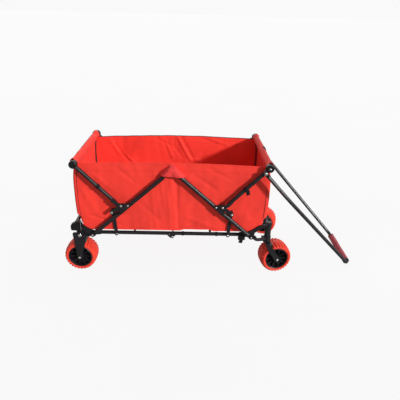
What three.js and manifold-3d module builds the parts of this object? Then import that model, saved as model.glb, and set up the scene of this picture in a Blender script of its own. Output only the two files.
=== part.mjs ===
// Folding pull wagon: a fabric basket hung in a scissor frame that closes lengthwise, on two fixed
// rear wheels and two front casters, with a bent tube handle pivoted at the front corners.
// Millimetres. +X is the front (handle) end, -Y is the near side, +Z is up, the ground is z = 0.
// Near side parts are drawn at negative y; layers are given as distances from the centre plane.
import * as THREE from 'three';
import { RoundedBoxGeometry } from 'three/addons/geometries/RoundedBoxGeometry.js';
import { mergeVertices } from 'three/addons/utils/BufferGeometryUtils.js';
import Module from 'manifold-3d';

const wasm = await Module();
wasm.setup();

// ---- driving dimensions -------------------------------------------------------------------
// Points of one half of the linkage, [x, z], measured from the middle of the basket.
const PIVOT = [418, 222];          // end frame, floor rail and long tube share this bolt
const APEX = [0, 594];             // where the front and rear long tubes meet
const CAP = [480, 615];            // top corner of the basket
const LEVER = [256.5, 403];        // upper arm turns here, on the long tube's plate
const ARM_FOOT = [260, 391];       // the upper arm's tube points here from the cap
const LEVER_END = [305.2, 364.4];  // strut hangs from the upper arm here
const STRUT_FOOT = [294, 224];     // strut meets the floor rail here
const LONG_RIVET = [224, 402];     // rivet on the long tube beside the lever pivot
const CENTRE_HINGE = [0, 206];     // floor hinge, below the rails so that they butt when open
const RAIL_Z = 221.5;

const TYRE_RADIUS = 85;
const TYRE_HALF_WIDTH = 50;
const HUB_RADIUS = 62;
const WHEEL_Y = 220;
const REAR_AXLE_X = 496;
const FORK_BOLT = [483, 222];
const REAR_BLOCK_INNER_Y = 262;
const KINGPIN_X = 513;
const CASTER_TRAIL = 50;
const CASTER_YAW_NEAR = 8;         // degrees the caster has swung inwards
const CASTER_YAW_FAR = -14;

const HANDLE_PIVOT_FROM_CAP = 30;
const HANDLE_SLOPE = 47;           // degrees below level, crossbar just off the ground
const HANDLE_LENGTH = 786;
const HANDLE_BEND = 182;
const HANDLE_LEAN = 20;            // the loose handle leans this far to the near side at its end
const HANDLE_LEG_Y = 301.5;
const HANDLE_CORNER_Y = 172;
const GRIP_HALF_LENGTH = 136;
const GRIP_RADIUS = 18;

// Layers, as distances from the centre plane of the wagon.
const WALL_LAYER = [246, 250];
const RAIL_Y = 236;
const RAIL_LUG_LAYER = [242, 246];
const PLATE_LAYER = [256, 260];    // end brackets and struts
const LONG_Y = 272;
const LONG_EYE_LAYER = [262, 270];
const LONG_PLATE_LAYER = [282, 286.4];
const UPPER_Y = 277;
const LEVER_LAYER = [287, 291];
const CAP_LAYER = [262, 291];
const HANDLE_PLATE_LAYER = [292.2, 296.2];

const RAIL_RADIUS = 10;
const LONG_RADIUS = 11;
const UPPER_RADIUS = 10;
const HANDLE_RADIUS = 9.5;
const TOP_BAR_RADIUS = 8;
const PIN_RADIUS = 4;
const PIVOT_BOLT_RADIUS = 5;
const FIT = 0.35;                  // radial gap round a pin in its hole
const GAP = 0.3;                   // gap between pieces that touch
const FORK_LEG = [51.5, 55.5];     // fork leg layer, from the middle of its wheel
const CROSSBAR_RADIUS = 6.5;
const POST_RADIUS = 17;
const POST_Z = [183, 292];
const FRONT_TUBE_Z = 268;

const BASKET_HALF_LENGTH = 476;
const BASKET_BOTTOM_Z = 246;
const BASKET_TOP_Z = 606;
const MAT_X = [3, 430];
const MAT_Z = [249, 259];
const MAT_HALF_WIDTH = 222;

// The origin is under the middle of the whole object, handle included.
const HANDLE_DIRECTION = THREE.MathUtils.degToRad(HANDLE_SLOPE);
const armDirection = unit([ARM_FOOT[0] - CAP[0], ARM_FOOT[1] - CAP[1]]);
const HANDLE_PIVOT = along(CAP, armDirection, HANDLE_PIVOT_FROM_CAP);
const TIP_X = HANDLE_PIVOT[0] + HANDLE_LENGTH * Math.cos(HANDLE_DIRECTION) + GRIP_RADIUS;
const ORIGIN_X = (TIP_X - REAR_AXLE_X - TYRE_RADIUS) / 2;

// ---- plane geometry -----------------------------------------------------------------------
function unit([x, z]) {
  const length = Math.hypot(x, z);
  return [x / length, z / length];
}

function along([x, z], [dx, dz], distance) {
  return [x + dx * distance, z + dz * distance];
}

// Outline of the tight band round a set of circles [x, z, radius].
function bandOutline(circles, sides = 12) {
  const points = [];
  for (const [x, z, radius] of circles) {
    for (let i = 0; i < sides; i += 1) {
      const angle = (i / sides) * 2 * Math.PI;
      points.push([x + radius * Math.cos(angle), z + radius * Math.sin(angle)]);
    }
  }
  points.sort((a, b) => a[0] - b[0] || a[1] - b[1]);
  const turn = (o, a, b) => (a[0] - o[0]) * (b[1] - o[1]) - (a[1] - o[1]) * (b[0] - o[0]);
  const chain = (ordered) => {
    const hull = [];
    for (const p of ordered) {
      while (hull.length > 1 && turn(hull[hull.length - 2], hull[hull.length - 1], p) <= 1e-6) {
        hull.pop();
      }
      hull.push(p);
    }
    hull.pop();
    return hull;
  };
  return [...chain(points), ...chain([...points].reverse())];
}

// ---- solids -------------------------------------------------------------------------------
function toManifold(geometry) {
  const bare = geometry.clone();
  bare.deleteAttribute('normal');
  bare.deleteAttribute('uv');
  const merged = mergeVertices(bare, 1e-4);
  const index = merged.index.array;
  const triangles = [];
  for (let i = 0; i < index.length; i += 3) {
    const [a, b, c] = [index[i], index[i + 1], index[i + 2]];
    if (a !== b && b !== c && c !== a) triangles.push(a, b, c);
  }
  return new wasm.Manifold(new wasm.Mesh({
    numProp: 3,
    vertProperties: new Float32Array(merged.attributes.position.array),
    triVerts: new Uint32Array(triangles),
  }));
}

function toGeometry(manifold) {
  const { vertProperties, triVerts } = manifold.getMesh();
  const geometry = new THREE.BufferGeometry();
  geometry.setAttribute('position', new THREE.BufferAttribute(new Float32Array(vertProperties), 3));
  geometry.setIndex(new THREE.BufferAttribute(new Uint32Array(triVerts), 1));
  geometry.computeVertexNormals();
  return geometry;
}

function join(...geometries) {
  const solids = geometries.map(toManifold);
  return toGeometry(solids.slice(1).reduce((sum, solid) => sum.add(solid), solids[0]));
}

function cut(base, ...tools) {
  return toGeometry(tools.reduce((left, tool) => left.subtract(toManifold(tool)), toManifold(base)));
}

// A flat plate on the near side, given by its outline [x, z] and its layer.
function plate(outline, [inner, outer]) {
  const shape = new THREE.Shape(outline.map(([x, z]) => new THREE.Vector2(x, z)));
  const geometry = new THREE.ExtrudeGeometry(shape, { depth: outer - inner, bevelEnabled: false });
  return geometry.rotateX(Math.PI / 2).translate(0, -inner, 0);
}

function band(circles, layer) {
  return plate(bandOutline(circles), layer);
}

// A pin across the wagon on the near side.
function pin([x, z], radius, [inner, outer], sides = 12) {
  const geometry = new THREE.CylinderGeometry(radius, radius, outer - inner, sides);
  return geometry.translate(x, -(inner + outer) / 2, z);
}

// A straight tube between two points [x, y, z].
function rod(from, to, radius, sides = 16) {
  const a = new THREE.Vector3(...from);
  const b = new THREE.Vector3(...to);
  const axis = b.clone().sub(a);
  const geometry = new THREE.CylinderGeometry(radius, radius, axis.length(), sides);
  const turn = new THREE.Quaternion().setFromUnitVectors(new THREE.Vector3(0, 1, 0), axis.normalize());
  return geometry.applyQuaternion(turn).translate(...a.add(b).multiplyScalar(0.5).toArray());
}

function box([x0, x1], [y0, y1], [z0, z1]) {
  const geometry = new THREE.BoxGeometry(x1 - x0, y1 - y0, z1 - z0);
  return geometry.translate((x0 + x1) / 2, (y0 + y1) / 2, (z0 + z1) / 2);
}

// A curve whose rings fall exactly on the given points.
class RingCurve extends THREE.Curve {
  constructor(points) {
    super();
    this.points = points;
  }

  getPoint(t) {
    const place = t * (this.points.length - 1);
    const i = Math.min(Math.floor(place), this.points.length - 2);
    return this.points[i].clone().lerp(this.points[i + 1], place - i);
  }

  getPointAt(u) {
    return this.getPoint(u);
  }

  getTangentAt(u) {
    const i = Math.round(u * (this.points.length - 1));
    const here = this.points[i];
    const tangent = new THREE.Vector3();
    if (i > 0) tangent.add(here.clone().sub(this.points[i - 1]).normalize());
    if (i < this.points.length - 1) tangent.add(this.points[i + 1].clone().sub(here).normalize());
    return tangent.normalize();
  }
}

// A bent tube through corner points [x, y, z]; each inner corner is rounded over the given reach.
function bentTube(corners, reach, radius, bendSteps = 4, halfSides = 5) {
  const points = corners.map((corner) => new THREE.Vector3(...corner));
  const rings = [points[0]];
  for (let i = 1; i < points.length - 1; i += 1) {
    const before = points[i - 1].clone().sub(points[i]).setLength(reach[i - 1]).add(points[i]);
    const after = points[i + 1].clone().sub(points[i]).setLength(reach[i - 1]).add(points[i]);
    rings.push(...new THREE.QuadraticBezierCurve3(before, points[i], after).getPoints(bendSteps));
  }
  rings.push(points[points.length - 1]);
  const circle = new THREE.Shape();
  circle.absarc(0, 0, radius, 0, 2 * Math.PI);
  return new THREE.ExtrudeGeometry(circle, {
    steps: rings.length - 1,
    curveSegments: halfSides,
    extrudePath: new RingCurve(rings),
    bevelEnabled: false,
  });
}

// A turned part about an axis across the wagon; the profile is [radius, y], closed by the caller.
function turned(profile, [x, y, z], sides) {
  const points = profile.map(([radius, offset]) => new THREE.Vector2(radius, offset));
  return new THREE.LatheGeometry(points, sides).translate(x, y, z);
}

function closed(profile) {
  return [...profile, profile[0]];
}

// ---- materials ----------------------------------------------------------------------------
function material(color, roughness, metalness) {
  return new THREE.MeshStandardMaterial({ color, roughness, metalness });
}

const FRAME = material(0x323034, 0.35, 0.5);
const CLAMP = material(0x1a191c, 0.55, 0.0);
const STEEL = material(0xc8c3be, 0.3, 1.0);
const TYRE = material(0xf5503c, 0.65, 0.0);
const HUB = material(0x0f0d11, 0.45, 0.0);
const GRIP = material(0xa5283c, 0.85, 0.0);
const CANVAS = material(0xe6372d, 0.9, 0.0);

// ---- frame pieces, drawn for the near side of the front half -------------------------------
const longDirection = unit([APEX[0] - PIVOT[0], APEX[1] - PIVOT[1]]);
const LONG_LENGTH = Math.hypot(APEX[0] - PIVOT[0], APEX[1] - PIVOT[1]);

// The bolt is one with its end frame; the sleeve keeps the floor rail clear of the fabric.
function pivotBolt() {
  return [
    pin(PIVOT, PIVOT_BOLT_RADIUS, [238, 274]),
    pin(PIVOT, 9, [271.5, 275]),
    pin(PIVOT, 9, [RAIL_LUG_LAYER[1] + GAP, 257]),
    pin(PIVOT, 8, [237.5, 241.6]),
  ];
}

function rearBracket() {
  const gusset = [
    [404, 212], [478.2, 206], [478.2, 306], [470, 286], [460, 271], [440, 257], [419, 249], [404, 240],
  ];
  return join(
    band([[...PIVOT, 14], [...FORK_BOLT, 14]], PLATE_LAYER),
    plate(gusset, PLATE_LAYER),
    pin(FORK_BOLT, 14, [258, 271.2]),
    pin(FORK_BOLT, 6, [258, 281]),
    pin(FORK_BOLT, 10, [275.8, 281]),
    ...pivotBolt(),
  );
}

function rearCornerBlock() {
  const outline = [[478.5, 253], [519, 255], [523, 260], [523, 283], [519, 289], [478.5, 311]];
  return plate(outline, [REAR_BLOCK_INNER_Y, 285]);
}

function rearFork() {
  const legs = join(
    band([[...FORK_BOLT, 18], [458, 212, 8], [512, 228, 9], [510, 212, 8], [REAR_AXLE_X, TYRE_RADIUS, 12]],
      [WHEEL_Y + FORK_LEG[0], WHEEL_Y + FORK_LEG[1]]),
    band([[470, 180, 8], [504, 180, 8], [REAR_AXLE_X, TYRE_RADIUS, 12]],
      [WHEEL_Y - FORK_LEG[1], WHEEL_Y - FORK_LEG[0]]),
    box([458, 514], [-WHEEL_Y - FORK_LEG[1], -WHEEL_Y + FORK_LEG[1]], [172, 176]),
    rod([503, -WHEEL_Y, 175], [503, -WHEEL_Y, 270 - GAP], 12),
  );
  return cut(
    legs,
    pin(FORK_BOLT, 6 + FIT, [270, 300]),
    pin([REAR_AXLE_X, TYRE_RADIUS], PIVOT_BOLT_RADIUS + FIT, [150, 300]),
  );
}

// Bolt through the wheel centre, drawn about y = centre.
function axle(x, centre) {
  const span = ([inner, outer], radius) => {
    const geometry = new THREE.CylinderGeometry(radius, radius, outer - inner, 12);
    return geometry.translate(x, centre + (inner + outer) / 2, TYRE_RADIUS);
  };
  return join(span([-57, 57], 5), span([-60, -55.8], 7.5), span([55.8, 60], 7.5));
}

function tyre(x, centre) {
  const profile = closed([
    [HUB_RADIUS + GAP, -46], [70, -TYRE_HALF_WIDTH], [77, -48], [82.5, -37], [TYRE_RADIUS, -21],
    [TYRE_RADIUS, 21], [82.5, 37], [77, 48], [70, TYRE_HALF_WIDTH], [HUB_RADIUS + GAP, 46],
  ]);
  return turned(profile, [x, centre, TYRE_RADIUS], 36);
}

// Moulded wheel centre; its dished face looks towards -y.
function hub(x, centre) {
  const profile = closed([
    [5.4, -49], [16, -49], [18, -30], [50, -34], [56, -46], [HUB_RADIUS, -46],
    [HUB_RADIUS, 46], [56, 46], [50, -26], [18, -22], [16, 49], [5.4, 49],
  ]);
  const windows = [];
  for (let i = 0; i < 5; i += 1) {
    const window = plate([[24, -5], [46, -13], [46, 13], [24, 5]], [-60, 60]);
    windows.push(window.rotateY((i / 5) * 2 * Math.PI));
  }
  return cut(turned(profile, [0, 0, 0], 24), ...windows).translate(x, centre, TYRE_RADIUS);
}

function floorRail(half) {
  const hingeLayer = half === 'rear' ? [244, 248.5] : [223.5, 228];
  const lug = join(
    pin(CENTRE_HINGE, 8.5, hingeLayer),
    plate([[0.5, 200.5], [10, 198.5], [28, 216], [28, 226], [0.5, 226]], hingeLayer),
  );
  return cut(
    join(
      rod([GAP, -RAIL_Y, RAIL_Z], [388, -RAIL_Y, RAIL_Z], RAIL_RADIUS),
      band([[...PIVOT, 13], [384, RAIL_Z, 9]], RAIL_LUG_LAYER),
      pin(STRUT_FOOT, PIN_RADIUS + 1, [240, PLATE_LAYER[0] - GAP]),
      lug,
    ),
    pin(PIVOT, PIVOT_BOLT_RADIUS + FIT, [235, 260]),
    pin(CENTRE_HINGE, PIN_RADIUS + FIT, [215, 255]),
  );
}

function floorCrossbar() {
  const z = RAIL_Z + RAIL_RADIUS + GAP + CROSSBAR_RADIUS;
  return rod([200, -RAIL_Y, z], [200, RAIL_Y, z], CROSSBAR_RADIUS);
}

function centreHingeRod() {
  const [x, z] = CENTRE_HINGE;
  return join(
    rod([x, -252, z], [x, 252, z], PIN_RADIUS),
    pin(CENTRE_HINGE, 7.5, [248.9, 252.5]),
    pin(CENTRE_HINGE, 7.5, [-252.5, -248.9]),
  );
}

function frontArm() {
  const sweep = [[396, 239, 8], [412, 245, 9], [437, 257, 10], [461, 277, 10], [480, 284, 9.5]];
  const sweepLayer = [252.3, PLATE_LAYER[1]];
  const frame = join(
    band([[...PIVOT, 14], [441, 216, 8]], PLATE_LAYER),
    band([[...PIVOT, 14], [430, 250, 9]], PLATE_LAYER),
    ...pivotBolt(),
    ...sweep.slice(1).map((circle, i) => band([sweep[i], circle], sweepLayer)),
    rod([478, -255.5, 284], [KINGPIN_X - 3, -WHEEL_Y - 3, 278], 8),
    bentTube([[433, -258, 216], [449, -254, 200], [486, -236, 193.5], [KINGPIN_X, -WHEEL_Y, 193.5]],
      [12, 10], 9),
    rod([KINGPIN_X, -WHEEL_Y, POST_Z[0]], [KINGPIN_X, -WHEEL_Y, POST_Z[1]], POST_RADIUS),
    rod([KINGPIN_X, -WHEEL_Y, POST_Z[0]], [KINGPIN_X, -WHEEL_Y, 206], POST_RADIUS + 2.5, 24),
  );
  return cut(frame, rod([KINGPIN_X, -WHEEL_Y, 170], [KINGPIN_X, -WHEEL_Y, 276], 7.5));
}

function frontCrossTube() {
  const post = (y) => rod([KINGPIN_X, y, 240], [KINGPIN_X, y, 320], POST_RADIUS + GAP);
  const half = WHEEL_Y - 7;
  return cut(
    rod([KINGPIN_X, -half, FRONT_TUBE_Z], [KINGPIN_X, half, FRONT_TUBE_Z], RAIL_RADIUS),
    post(-WHEEL_Y),
    post(WHEEL_Y),
  );
}

function rearCrossTube() {
  const half = REAR_BLOCK_INNER_Y - GAP;
  return rod([-503, -half, 280], [-503, half, 280], RAIL_RADIUS);
}

// Drawn about the kingpin, trailing along +x.
function casterFork() {
  const leg = (layer) => band([[0, 164, 15], [CASTER_TRAIL, TYRE_RADIUS, 13]], layer);
  const crown = [173.5, 178.5];
  const seat = POST_Z[0] - GAP;
  const wheelBolt = [CASTER_TRAIL, TYRE_RADIUS];
  return cut(
    join(
      leg(FORK_LEG),
      leg([-FORK_LEG[1], -FORK_LEG[0]]),
      box([-16, 18], [-FORK_LEG[1], FORK_LEG[1]], crown),
      rod([0, 0, crown[1] - 2], [0, 0, seat], 16),
      rod([0, 0, crown[1] - 2], [0, 0, 273], 7),
    ),
    pin(wheelBolt, PIVOT_BOLT_RADIUS + FIT, [-70, 70]),
  );
}

function longTube(half) {
  const tongue = half === 'rear' ? [266, 270] : [274, 278];
  const at = (distance) => along(PIVOT, longDirection, distance);
  const inSpace = ([x, z]) => [x, -LONG_Y, z];
  const rivet = pin(LONG_RIVET, 6, [285, 288.6]);
  return cut(
    join(
      rod(inSpace(at(24)), inSpace(at(LONG_LENGTH - 62)), LONG_RADIUS),
      band([[...PIVOT, 13], [...at(40), 9]], LONG_EYE_LAYER),
      band([[...at(LONG_LENGTH - 76), 8.5], [...APEX, 10]], tongue),
      band([[...LEVER, 12], [...LONG_RIVET, 11], [...at(214), 9]], LONG_PLATE_LAYER),
      rivet,
    ),
    pin(PIVOT, PIVOT_BOLT_RADIUS + FIT, [255, 280]),
    pin(LEVER, PIN_RADIUS + FIT, [275, 295]),
  );
}

function upperArm(half) {
  const toCap = [-armDirection[0], -armDirection[1]];
  const length = Math.hypot(CAP[0] - ARM_FOOT[0], CAP[1] - ARM_FOOT[1]);
  const at = (distance) => along(ARM_FOOT, toCap, distance);
  const inSpace = ([x, z]) => [x, -UPPER_Y, z];
  const arm = join(
    rod(inSpace(at(50)), inSpace(at(length - 8.3)), UPPER_RADIUS),
    band([[...at(36), 9], [...at(56), 9]], [272, LEVER_LAYER[1]]),
    band([[...LEVER, 11], [...at(36), 9]], LEVER_LAYER),
    band([[...LEVER, 11], [...LEVER_END, 10]], LEVER_LAYER),
    pin(LEVER, PIN_RADIUS, [276, 293]),
    pin(LEVER, 6.5, [276, 281.6]),
    pin(LEVER, 6.5, [290, 293.5]),
  );
  const holes = [pin(LEVER_END, PIN_RADIUS + FIT, [280, 300])];
  if (half === 'front') holes.push(pin(HANDLE_PIVOT, PIN_RADIUS + FIT, [260, 300]));
  return cut(arm, ...holes);
}

function strut() {
  return join(
    band([[...LEVER_END, 9], [...STRUT_FOOT, 9]], PLATE_LAYER),
    pin(LEVER_END, PIN_RADIUS, [258, 294]),
    pin(LEVER_END, 7, [291.4, 294.5]),
  );
}

function cornerCap() {
  const [inner, outer] = CAP_LAYER;
  const body = turned(
    [[0, -outer], [15, -outer], [20, -outer + 5], [20, -inner], [0, -inner]],
    [CAP[0], 0, CAP[1]],
    20,
  );
  const from = along(CAP, armDirection, 8);
  const to = along(CAP, armDirection, 40);
  return cut(body, rod([from[0], -UPPER_Y, from[1]], [to[0], -UPPER_Y, to[1]], UPPER_RADIUS + GAP));
}

function topBar() {
  const half = CAP_LAYER[0] - GAP;
  return rod([CAP[0], -half, CAP[1]], [CAP[0], half, CAP[1]], TOP_BAR_RADIUS);
}

// ---- basket -------------------------------------------------------------------------------
function sideWall() {
  const radius = 60;
  const bottom = [];
  for (let i = 0; i <= 8; i += 1) {
    const angle = -(i / 8) * (Math.PI / 2);
    const reach = BASKET_HALF_LENGTH - radius;
    bottom.push([reach + radius * Math.cos(angle), BASKET_BOTTOM_Z + radius * (1 + Math.sin(angle))]);
  }
  const right = [[BASKET_HALF_LENGTH, BASKET_TOP_Z], ...bottom];
  const left = right.map(([x, z]) => [-x, z]).reverse();
  return plate([...right, ...left], WALL_LAYER);
}

function endWall() {
  return box([479, 483], [-245, 245], [318, BASKET_TOP_Z]);
}

function floorMat() {
  const [inner, outer] = MAT_X;
  const [bottom, top] = MAT_Z;
  const mat = new RoundedBoxGeometry(outer - inner, 2 * MAT_HALF_WIDTH, top - bottom, 1, 4);
  return mat.translate((inner + outer) / 2, 0, (bottom + top) / 2);
}

// ---- handle, drawn from its pivot along +x --------------------------------------------------
function handleTube() {
  const [inner, outer] = HANDLE_PLATE_LAYER;
  const leaning = (x, y) => [x, y - (HANDLE_LEAN * x) / HANDLE_LENGTH, 0];
  const tube = bentTube(
    [
      [18, -HANDLE_LEG_Y, 0], leaning(HANDLE_BEND, -HANDLE_LEG_Y),
      leaning(HANDLE_LENGTH, -HANDLE_CORNER_Y), leaning(HANDLE_LENGTH, HANDLE_CORNER_Y),
      leaning(HANDLE_BEND, HANDLE_LEG_Y), [18, HANDLE_LEG_Y, 0],
    ],
    [30, 34, 34, 30],
    HANDLE_RADIUS,
    6,
    7,
  );
  const end = [[0, 0, 11], [28, 0, 9]];
  return cut(
    join(tube, band(end, [inner, outer]), band(end, [-outer, -inner])),
    rod([0, -320, 0], [0, 320, 0], PIN_RADIUS + FIT),
  );
}

function handleGrip() {
  const profile = closed([
    [HANDLE_RADIUS + GAP, -GRIP_HALF_LENGTH], [GRIP_RADIUS - 2, -GRIP_HALF_LENGTH],
    [GRIP_RADIUS, -GRIP_HALF_LENGTH + 3], [GRIP_RADIUS, GRIP_HALF_LENGTH - 3],
    [GRIP_RADIUS - 2, GRIP_HALF_LENGTH], [HANDLE_RADIUS + GAP, GRIP_HALF_LENGTH],
  ]);
  return turned(profile, [HANDLE_LENGTH, -HANDLE_LEAN, 0], 20);
}

function handlePivotPin() {
  return join(
    pin(HANDLE_PIVOT, PIN_RADIUS, [262, 300]),
    pin(HANDLE_PIVOT, 8, [296.5, 300]),
    pin(HANDLE_PIVOT, 7.5, [262, 266.6]),
  );
}

// ---- assembly -----------------------------------------------------------------------------
const wagon = new THREE.Group();
wagon.name = 'folding_wagon';
wagon.position.x = -ORIGIN_X;

function add(name, geometry, surface, parent = wagon, { rear = false, far = false } = {}) {
  const mesh = new THREE.Mesh(geometry, surface);
  mesh.name = name;
  mesh.scale.set(rear ? -1 : 1, far ? -1 : 1, 1);
  parent.add(mesh);
}

function addBothSides(name, geometry, surface, rear = false) {
  add(`${name}_near`, geometry, surface, wagon, { rear, far: false });
  add(`${name}_far`, geometry, surface, wagon, { rear, far: true });
}

add('rear_cross_tube', rearCrossTube(), FRAME);
addBothSides('rear_bracket', rearBracket(), FRAME, true);
addBothSides('rear_corner_block', rearCornerBlock(), CLAMP, true);
addBothSides('rear_fork', rearFork(), FRAME, true);
addBothSides('rear_axle', axle(REAR_AXLE_X, -WHEEL_Y), STEEL, true);
addBothSides('rear_tyre', tyre(REAR_AXLE_X, -WHEEL_Y), TYRE, true);
addBothSides('rear_hub', hub(REAR_AXLE_X, -WHEEL_Y), HUB, true);

add('front_cross_tube', frontCrossTube(), FRAME);
addBothSides('front_arm', frontArm(), FRAME);
add('centre_hinge_rod', centreHingeRod(), STEEL);

for (const half of ['rear', 'front']) {
  const rear = half === 'rear';
  addBothSides(`rail_${half}`, floorRail(half), FRAME, rear);
  add(`floor_crossbar_${half}`, floorCrossbar(), FRAME, wagon, { rear });
  addBothSides(`long_${half}`, longTube(half), FRAME, rear);
  addBothSides(`upper_${half}`, upperArm(half), FRAME, rear);
  addBothSides(`strut_${half}`, strut(), FRAME, rear);
  addBothSides(`corner_cap_${half}`, cornerCap(), CLAMP, rear);
  add(`top_bar_${half}`, topBar(), FRAME, wagon, { rear });
  add(`basket_wall_${half}`, endWall(), CANVAS, wagon, { rear });
  add(`floor_mat_${half}`, floorMat(), CANVAS, wagon, { rear });
}
addBothSides('basket_side', sideWall(), CANVAS);

for (const [side, y, yaw] of [['near', -WHEEL_Y, CASTER_YAW_NEAR], ['far', WHEEL_Y, CASTER_YAW_FAR]]) {
  const caster = new THREE.Group();
  caster.position.set(KINGPIN_X, y, 0);
  caster.rotation.z = THREE.MathUtils.degToRad(yaw);
  wagon.add(caster);
  const far = side === 'far';
  add(`caster_fork_${side}`, casterFork(), FRAME, caster);
  add(`caster_axle_${side}`, axle(CASTER_TRAIL, 0), STEEL, caster);
  add(`caster_tyre_${side}`, tyre(CASTER_TRAIL, 0), TYRE, caster);
  add(`caster_hub_${side}`, hub(CASTER_TRAIL, 0), HUB, caster, { far });
}

const handle = new THREE.Group();
handle.position.set(HANDLE_PIVOT[0], 0, HANDLE_PIVOT[1]);
handle.rotation.y = HANDLE_DIRECTION;
wagon.add(handle);
add('handle_tube', handleTube(), FRAME, handle);
add('handle_grip', handleGrip(), GRIP, handle);
addBothSides('handle_pivot_pin', handlePivotPin(), STEEL);

export default wagon;
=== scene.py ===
"""Looks of the folding pull wagon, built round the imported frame.

Sizes are in millimetres, measured from the middle of the basket on the ground (+X is the handle end,
-Y the near side, +Z up); mesh() turns them into metres in the row frame.
"""
import math

import bmesh
import bpy
import numpy as np
from mathutils import Matrix, Vector, noise


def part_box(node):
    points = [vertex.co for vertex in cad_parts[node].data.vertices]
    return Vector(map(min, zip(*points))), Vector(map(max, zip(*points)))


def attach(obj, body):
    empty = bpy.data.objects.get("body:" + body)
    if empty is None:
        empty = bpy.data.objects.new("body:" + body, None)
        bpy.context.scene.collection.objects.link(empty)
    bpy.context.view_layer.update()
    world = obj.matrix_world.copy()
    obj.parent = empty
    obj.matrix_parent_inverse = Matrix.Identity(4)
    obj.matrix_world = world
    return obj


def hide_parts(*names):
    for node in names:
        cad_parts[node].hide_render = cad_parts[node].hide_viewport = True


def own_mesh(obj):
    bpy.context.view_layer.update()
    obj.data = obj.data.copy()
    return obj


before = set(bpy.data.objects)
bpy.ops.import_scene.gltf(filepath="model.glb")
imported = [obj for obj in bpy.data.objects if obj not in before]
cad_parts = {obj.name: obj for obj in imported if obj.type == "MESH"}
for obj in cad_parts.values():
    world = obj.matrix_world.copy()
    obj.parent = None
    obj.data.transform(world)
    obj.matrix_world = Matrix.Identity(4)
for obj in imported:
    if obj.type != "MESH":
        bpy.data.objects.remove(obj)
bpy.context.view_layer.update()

MM = 0.001

# ---- places that come from the frame ---------------------------------------------------------
_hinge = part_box("centre_hinge_rod")
SHIFT_X = (_hinge[0].x + _hinge[1].x) / 2      # row x of the middle of the basket


def wagon_box(node):
    """Lowest and highest corner of a CAD node, in wagon millimetres."""
    low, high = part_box(node)
    shift = Vector((SHIFT_X, 0, 0))
    return (low - shift) / MM, (high - shift) / MM


WHEEL_Y = 220.0
REAR_AXLE_X = 496.0
KINGPIN_X = 513.0
CASTER_TRAIL = 50.0
CASTER_YAW = {"near": math.radians(8), "far": math.radians(-14)}
TYRE_RADIUS = wagon_box("rear_tyre_near")[1].z / 2
CAP_X = 480.0
TOP_BAR_Z = 615.0
PIVOT = (418.0, 222.0)
LEVER = (256.5, 403.0)
ARM_FOOT = (260.0, 391.0)        # the upper arm points here from the corner cap
LEVER_END = (305.2, 364.4)
STRUT_FOOT = (294.0, 224.0)
LONG_RIVET = (224.0, 402.0)
FORK_BOLT = (-483.0, 222.0)
UPPER_Y = 277.0
HANDLE_PIVOT = (459.0, 593.6)
CENTRE_HINGE_Z = 206.0
RAIL_Y, RAIL_Z = 236.0, 221.5

WALL_Y = 250.5                 # middle surface of the side panels
FABRIC = 1.5                   # thickness of the canvas
SIDE_SIGN = {"near": -1, "far": 1}
END_SIGN = {"rear": -1, "front": 1}


def smooth(a, b, value):
    """Rises from 0 at a to 1 at b, level at both ends."""
    t = min(max((value - a) / (b - a), 0.0), 1.0)
    return t * t * (3 - 2 * t)


def wrinkle(a, b, scale_a, scale_b, seed):
    """Fixed smooth noise, about -1 to 1, with its own length scale in each direction."""
    return noise.noise(Vector((a / scale_a, b / scale_b, seed)))


# ---- mesh parts: (points, faces) -------------------------------------------------------------
def merge(*parts):
    """Several parts as one."""
    points, faces, start = [], [], 0
    for part_points, part_faces in parts:
        points.append(np.asarray(part_points, float).reshape(-1, 3))
        faces.extend([tuple(i + start for i in face) for face in part_faces])
        start += len(points[-1])
    return np.vstack(points), faces


def mirrored(part):
    """The same part on the other side of the centre plane."""
    points, faces = part
    return np.asarray(points) * (1, -1, 1), [tuple(reversed(face)) for face in faces]


def quads(rows, columns, wrap_rows=False, wrap_columns=False):
    """Faces of a grid of points numbered row by row."""
    faces = []
    for i in range(rows if wrap_rows else rows - 1):
        for j in range(columns if wrap_columns else columns - 1):
            k, m = (i + 1) % rows, (j + 1) % columns
            faces.append((i * columns + j, k * columns + j, k * columns + m, i * columns + m))
    return faces


def grid_normals(grid):
    """Unit normals of a surface given as a grid of points."""
    along_rows = np.gradient(grid, axis=0)
    along_columns = np.gradient(grid, axis=1)
    normals = np.cross(along_rows, along_columns)
    return normals / np.maximum(np.linalg.norm(normals, axis=2, keepdims=True), 1e-9)


def thick_sheet(grid, thickness=FABRIC):
    """A closed sheet round a middle surface given as a rows x columns grid of points."""
    rows, columns = grid.shape[:2]
    offset = grid_normals(grid) * thickness / 2
    count = rows * columns
    top = quads(rows, columns)
    bottom = [tuple(count + i for i in reversed(face)) for face in top]
    ring = list(range(columns))
    ring += [i * columns + columns - 1 for i in range(1, rows)]
    ring += [(rows - 1) * columns + j for j in range(columns - 2, -1, -1)]
    ring += [i * columns for i in range(rows - 2, 0, -1)]
    rim = [(a, b, count + b, count + a) for a, b in zip(ring, ring[1:] + ring[:1])]
    points = np.vstack([(grid + offset).reshape(-1, 3), (grid - offset).reshape(-1, 3)])
    return points, top + bottom + rim


def frames_along(path):
    """Two normals at each point of a path, without twist."""
    tangents = np.gradient(path, axis=0)
    tangents /= np.linalg.norm(tangents, axis=1, keepdims=True)
    start = (0, 0, 1) if abs(tangents[0][2]) < 0.9 else (1, 0, 0)
    side = np.cross(tangents[0], start)
    sides, ups = [], []
    for tangent in tangents:
        side = side - tangent * np.dot(side, tangent)
        side /= np.linalg.norm(side)
        sides.append(side)
        ups.append(np.cross(tangent, side))
    return np.array(sides), np.array(ups)


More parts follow.
